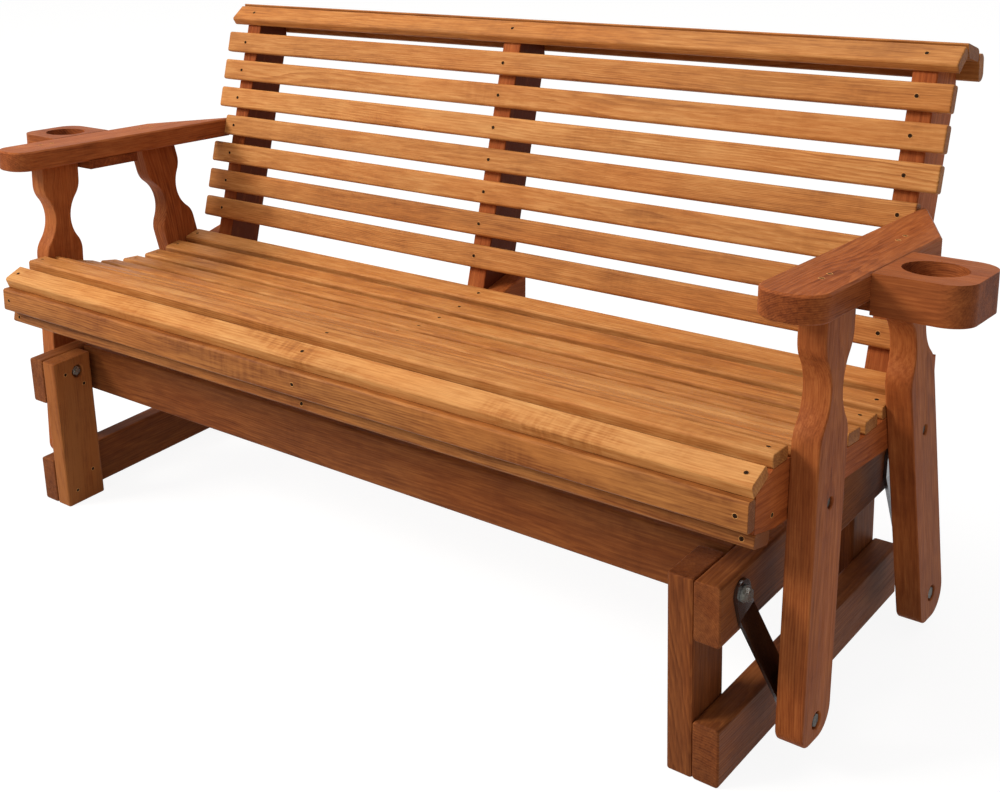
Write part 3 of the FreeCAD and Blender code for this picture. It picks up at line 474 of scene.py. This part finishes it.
def wood(node, slot, chance):
    """Makes one board's stained wood."""
    middle, turn = board_frame(node)
    light, medium, dark = (colour(*shade) for shade in STAINS_AND_BASE_SHADE[slot])
    tree = Tree(bpy.data.materials.new("wood_" + node.name))
    place = tree.add("ShaderNodeTexCoord").outputs["Object"]
    local = tree.add("ShaderNodeMapping", vector_type="TEXTURE")
    tree.feed(place, local.inputs["Vector"])
    local.inputs["Location"].default_value = middle
    local.inputs["Rotation"].default_value = turn.to_euler()
    board = local.outputs["Vector"]
    start = chance.uniform(0, NOISE_START)
    late, knot_stain = year_rings(tree, board, node, start, chance)

    # Fibres, flecks, ripples and slow changes in how much stain the wood took.
    fibre = tree.layer(board, start, FIBRE)
    tone = tree.layer(board, start, TONE)
    cloud = tree.layer(board, start, CLOUD)
    ripple = tree.layer(board, start, RIPPLE)
    fleck = tree.layer(board, start, FLECK)
    figure = tree.maths("MULTIPLY", ripple, tree.spread(cloud, RIPPLE_FROM, 1.0))
    normal = tree.add("ShaderNodeTexCoord").outputs["Normal"]
    end = tree.facing(normal, tuple(turn.col[0]))
    stains_and_shade = [
        (late, LATE_SHARE),
        (fibre, FIBRE_SHARE),
        (tone, TONE_SHARE),
        (cloud, CLOUD_SHARE),
        (fleck, FLECK_SHARE),
        (figure, BOARD_FIGURES.get(node.name, PLAIN_FIGURE)),
        (end, END_GRAIN_STAIN[slot]),
    ]
    # The flanks of two uprights are darkened as painted shade between the back slats.
    if node.name in FLANK_PAINTED_SHADE:
        stains_and_shade.append((tree.facing(normal, (1.0, 0.0, 0.0)), FLANK_PAINTED_SHADE[node.name]))
    amount = knot_stain
    for value, share in stains_and_shade:
        amount = tree.maths("ADD", tree.maths("MULTIPLY", value, share), amount)
    # The board's own tone includes the painted shade of roll_slat_3 and the painted light of
    # base_leg_front_left.
    own_tone = BOARD_TONES_AND_SHADE.get(node.name, 0.0) + chance.uniform(-TONE_SPREAD, TONE_SPREAD)
    amount = tree.maths("ADD", amount, own_tone)
    shade = tree.ramp(amount, tuple(zip(STAIN_STOPS, (light, medium, dark))))
    warmth = tree.layer(board, start, WARMTH)
    shade = tree.mix(tree.maths("MULTIPLY", warmth, WARM_SHARE), shade, WARM_TINT, "MULTIPLY")

    # Small dark pores drawn out along the fibres.
    pores = tree.layer(board, start, PORES)
    shade = tree.mix(tree.maths("MULTIPLY", pores, PORE_SHARE), shade, dark)

    shader = tree.add("ShaderNodeBsdfPrincipled")
    tree.feed(shade, shader.inputs["Base Color"])
    tree.feed(tree.spread(fibre, 0.0, 1.0, *WOOD_ROUGHNESS), shader.inputs["Roughness"])
    shader.inputs["Specular IOR Level"].default_value = SLAT_SHEEN if slot == "slat_lumber" else FRAME_SHEEN
    height = tree.maths("MULTIPLY", late, LATE_RELIEF)
    height = tree.maths("ADD", height, tree.maths("MULTIPLY", fibre, FIBRE_RELIEF))
    height = tree.maths("SUBTRACT", height, tree.maths("MULTIPLY", pores, PORE_RELIEF))
    tree.relief(height, WOOD_RELIEF_SHARE, WOOD_RELIEF, shader)
    return tree.close(shader.outputs["BSDF"])


def steel(name, light, dark, smooth, rough, metal):
    """Makes zinc plated steel with a spangled tone and fine rolling lines."""
    tree = Tree(bpy.data.materials.new(name))
    place = tree.add("ShaderNodeTexCoord").outputs["Object"]
    spangle = tree.noise(place, detail=SPANGLE_DETAIL, scale=SPANGLE_CYCLES).outputs["Fac"]
    lines = tree.vector("MULTIPLY", place, ROLLING_CYCLES)
    lines = tree.noise(lines).outputs["Fac"]
    tone = tree.maths("MULTIPLY", spangle, SPANGLE_SHARE)
    tone = tree.maths("ADD", tone, tree.maths("MULTIPLY", lines, 1.0 - SPANGLE_SHARE))
    tone = tree.spread(tone, *MOTTLE_BAND)
    shade = tree.mix(tone, colour(*dark), colour(*light))
    shader = tree.add("ShaderNodeBsdfPrincipled")
    shader.inputs["Metallic"].default_value = metal
    tree.feed(shade, shader.inputs["Base Color"])
    tree.feed(tree.spread(tone, 0.0, 1.0, rough, smooth), shader.inputs["Roughness"])
    tree.relief(lines, STEEL_RELIEF_SHARE, STEEL_RELIEF, shader)
    return tree.close(shader.outputs["BSDF"])


def ease_edges(node):
    """Softens a board's edges, less where boards lie close together."""
    weld = node.modifiers.new("weld", "WELD")
    weld.merge_threshold = WELD_REACH
    bevel = node.modifiers.new("ease", "BEVEL")
    bevel.width = EDGE_EASE
    if node.name.startswith("seat_slat"):
        bevel.width = SEAT_EASE
    if node.name.startswith("roll_slat"):
        bevel.width = ROLL_EASE
    bevel.segments = EASE_STEPS
    bevel.limit_method = "ANGLE"
    bevel.angle_limit = EASE_FROM_ANGLE
    bevel.use_clamp_overlap = True
    # Without this, edges that run into the triangles round a bore turn faces over.
    bevel.loop_slide = False


def dress_nodes():
    """Gives every CAD node its own finish and softens the boards' edges."""
    strap = steel("strap_steel_finish", *STRAP_STEEL)
    bright = steel("bolt_bright_painted_highlight", *BRIGHT_STEEL_AND_HIGHLIGHT)
    dull = steel("bolt_dull_finish", *DULL_STEEL)
    for number, name in enumerate(sorted(nodes)):
        node = nodes[name]
        slot = node.material_slots[0].material.name
        chance = random.Random(number * BOARD_SEED[0] + BOARD_SEED[1])
        if slot == "strap_steel":
            finish = strap
        elif slot == "bolt_steel":
            # The upper pivot nuts get the lighter steel, which is partly a painted highlight.
            finish = bright if name.startswith("upper_pivot") else dull
        else:
            finish = wood(node, slot, chance)
            ease_edges(node)
        for place in node.material_slots:
            place.material = finish


def screw_mesh(name):
    """Builds a sunk screw: wood lip, dark dish painted as the hole's shade, head and square socket."""
    mesh = bpy.data.meshes.new(name)
    build = bmesh.new()
    angles = [2 * math.pi * step / SCREW_SIDES for step in range(SCREW_SIDES)]
    # Each ring: radius, rise, and the material of the band that leads in to it from outside.
    rings = (
        (LIP_RADIUS, LIP_FOOT_RISE, 0),
        (LIP_RADIUS * LIP_SHOULDER, LIP_RISE * LIP_SHOULDER_RISE, 0),
        (LIP_RADIUS * LIP_CREST, LIP_RISE, 0),
        (DISH_RADIUS, DISH_RISE, 0),
        (HEAD_RADIUS, DISH_RISE, 1),
        (HEAD_RADIUS * HEAD_CROWN, HEAD_RISE, 2),
        (SOCKET_RADIUS * SOCKET_CORNER, HEAD_RISE, 2),
    )
    loops = []
    for radius, rise, _ in rings:
        spots = [(radius * math.cos(angle), radius * math.sin(angle), rise) for angle in angles]
        loops.append([build.verts.new(spot) for spot in spots])
    socket = []
    floor = []
    for angle in angles:
        reach = SOCKET_RADIUS / max(abs(math.cos(angle)), abs(math.sin(angle)))
        reach = min(reach, SOCKET_RADIUS * SOCKET_CORNER)
        spot = (reach * math.cos(angle), reach * math.sin(angle))
        socket.append(build.verts.new((*spot, HEAD_RISE)))
        floor.append(build.verts.new((*spot, DISH_RISE * SOCKET_FLOOR_RISE)))
    loops.append(socket)
    loops.append(floor)
    bands = [ring[2] for ring in rings[1:]] + [2, 1]
    for outer, inner, band in zip(loops[:-1], loops[1:], bands):
        for step in range(SCREW_SIDES):
            following = (step + 1) % SCREW_SIDES
            face = build.faces.new((outer[step], outer[following], inner[following], inner[step]))
            face.material_index = band
    build.faces.new(floor).material_index = 1
    build.normal_update()
    build.to_mesh(mesh)
    build.free()
    for finish in SCREW_COLOURS_AND_SHADE:
        mesh.materials.append(screw_colour_and_shade(*finish))
    return mesh


def screw_colour_and_shade(name, light, dark, rough, metal):
    """Makes the mottled colour of one part of a screw; for the dish and the head this colour is painted
    shade of the sunk hole.
    """
    tree = Tree(bpy.data.materials.new(name))
    place = tree.add("ShaderNodeTexCoord").outputs["Object"]
    tone = tree.noise(place, scale=SCREW_CYCLES).outputs["Fac"]
    tone = tree.spread(tone, *MOTTLE_BAND)
    shader = tree.add("ShaderNodeBsdfPrincipled")
    tree.feed(tree.mix(tone, colour(*dark), colour(*light)), shader.inputs["Base Color"])
    tree.feed(tree.spread(tone, 0.0, 1.0, rough + SCREW_ROUGHNESS_SPREAD, rough), shader.inputs["Roughness"])
    shader.inputs["Metallic"].default_value = metal
    shader.inputs["Specular IOR Level"].default_value = SCREW_SHEEN
    return tree.close(shader.outputs["BSDF"])


def hit(node, start, direction):
    """Gives the point and normal where a line first meets a node's surface."""
    found, point, normal, _ = nodes[node].ray_cast(Vector(start), Vector(direction).normalized())
    if not found:
        raise ValueError("no surface under a screw on " + node)
    return point, normal


def slat_screws():
    """Lists the slats' screws: node, body, start and direction of the line to each."""
    places = []
    for name in sorted(nodes):
        family = name.rstrip("0123456789")
        if family not in SLAT_SCREWS:
            continue
        facing, crossings = SLAT_SCREWS[family]
        low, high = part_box(name)
        middle = (Vector(low) + Vector(high)) / 2
        face = Vector(facing).normalized()
        for x in crossings:
            centre = Vector((x, middle.y, middle.z))
            _, normal = hit(name, centre + face * SLAT_REACH, -face)
            places.append((name, "seat", centre + normal * FACE_REACH, -normal))
    return places


def other_screws():
    """Lists the screws outside the slats: node, body, start and direction of the line to each."""
    places = []
    for name, hand in (("right", 1), ("left", -1)):
        for across, depth in ARM_SCREWS:
            places.append(("arm_" + name, "seat", (hand * across, depth, ABOVE_ARMS), (0, 0, -1)))
        for depth, height in LEG_SCREWS:
            rear = 2 * LEG_MIRROR_DEPTH - depth
            inside = hand * INSIDE_LEGS
            places.append(("base_leg_front_" + name, "base", (inside, depth, height), (hand, 0, 0)))
            places.append(("base_leg_rear_" + name, "base", (inside, rear, height), (hand, 0, 0)))
        places.append(("seat_rail_" + name, "seat", (hand * OUTSIDE_RAILS, *RAIL_SCREW), (-hand, 0, 0)))
    return places


def add_screws():
    """Sets the screws: three in each slat, and those in the arms, the legs and the seat rails."""
    mesh = screw_mesh("screw_head")
    for number, (node, body, start, direction) in enumerate(slat_screws() + other_screws()):
        point, normal = hit(node, start, direction)
        screw = bpy.data.objects.new("screw_%03d" % (number + 1), mesh)
        bpy.context.scene.collection.objects.link(screw)
        turn = normal.to_track_quat("Z", "Y").to_matrix()
        spin = Matrix.Rotation(number * SCREW_TURN, 3, "Z")
        screw.matrix_world = Matrix.Translation(point) @ (turn @ spin).to_4x4()
        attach(screw, body)


def looked_at(tree):
    """Gives 1 for the rays of the camera, of reflections and of transmission, and 0 for light."""
    rays = tree.add("ShaderNodeLightPath")
    seen = tree.maths("MAXIMUM", rays.outputs["Is Camera Ray"], rays.outputs["Is Glossy Ray"])
    return tree.maths("MAXIMUM", seen, rays.outputs["Is Transmission Ray"])


def mix_shaders(tree, share, first, second):
    """Mixes two shaders."""
    node = tree.add("ShaderNodeMixShader")
    tree.feed(share, node.inputs["Fac"])
    tree.feed(first, node.inputs[1])
    tree.feed(second, node.inputs[2])
    return node.outputs["Shader"]


def add_floor():
    """Lays the pale floor, which is white to the camera and keeps the bench's shadow."""
    mesh = bpy.data.meshes.new("floor")
    build = bmesh.new()
    bmesh.ops.create_grid(build, x_segments=2, y_segments=2, size=FLOOR_HALF_WIDTH)
    build.to_mesh(mesh)
    build.free()
    floor = bpy.data.objects.new("floor", mesh)
    bpy.context.scene.collection.objects.link(floor)
    tree = Tree(bpy.data.materials.new("floor_white"))
    paint = tree.add("ShaderNodeBsdfDiffuse")
    paint.inputs["Color"].default_value = FLOOR_COLOUR
    glow = tree.add("ShaderNodeEmission")
    glow.inputs["Color"].default_value = WHITE
    glow.inputs["Strength"].default_value = FLOOR_GLOW
    shadow = tree.add("ShaderNodeBsdfDiffuse")
    shadow.inputs["Color"].default_value = SHADOW_COLOUR
    pale = tree.add("ShaderNodeAddShader")
    tree.feed(shadow.outputs["BSDF"], pale.inputs[0])
    tree.feed(glow.outputs["Emission"], pale.inputs[1])
    both = mix_shaders(tree, looked_at(tree), paint.outputs["BSDF"], pale.outputs["Shader"])
    mesh.materials.append(tree.close(both))


def add_world():
    """Sets the world: white to the camera and in reflections, a soft warm grey fill for the rest."""
    tree = Tree(bpy.data.worlds.new("studio"))
    fill = tree.add("ShaderNodeBackground")
    fill.inputs["Color"].default_value = WORLD_COLOUR
    fill.inputs["Strength"].default_value = WORLD_FILL
    white = tree.add("ShaderNodeBackground")
    white.inputs["Color"].default_value = WHITE
    white.inputs["Strength"].default_value = 1.0
    both = mix_shaders(tree, looked_at(tree), fill.outputs["Background"], white.outputs["Background"])
    bpy.context.scene.world = tree.close(both, "ShaderNodeOutputWorld")


def add_lamp(name, place, size, power, tint):
    """Hangs a soft rectangular lamp that faces the bench."""
    data = bpy.data.lights.new(name, "AREA")
    data.shape = "RECTANGLE"
    data.size = size[0]
    data.size_y = size[1]
    data.energy = power
    data.color = tint
    lamp = bpy.data.objects.new(name, data)
    bpy.context.scene.collection.objects.link(lamp)
    sight = Vector(LAMP_TARGET) - Vector(place)
    lamp.matrix_world = Matrix.Translation(place) @ sight.to_track_quat("-Z", "Y").to_matrix().to_4x4()


add_camera()
dress_nodes()
add_screws()
add_floor()
add_world()
for lamp in LAMPS:
    add_lamp(*lamp)
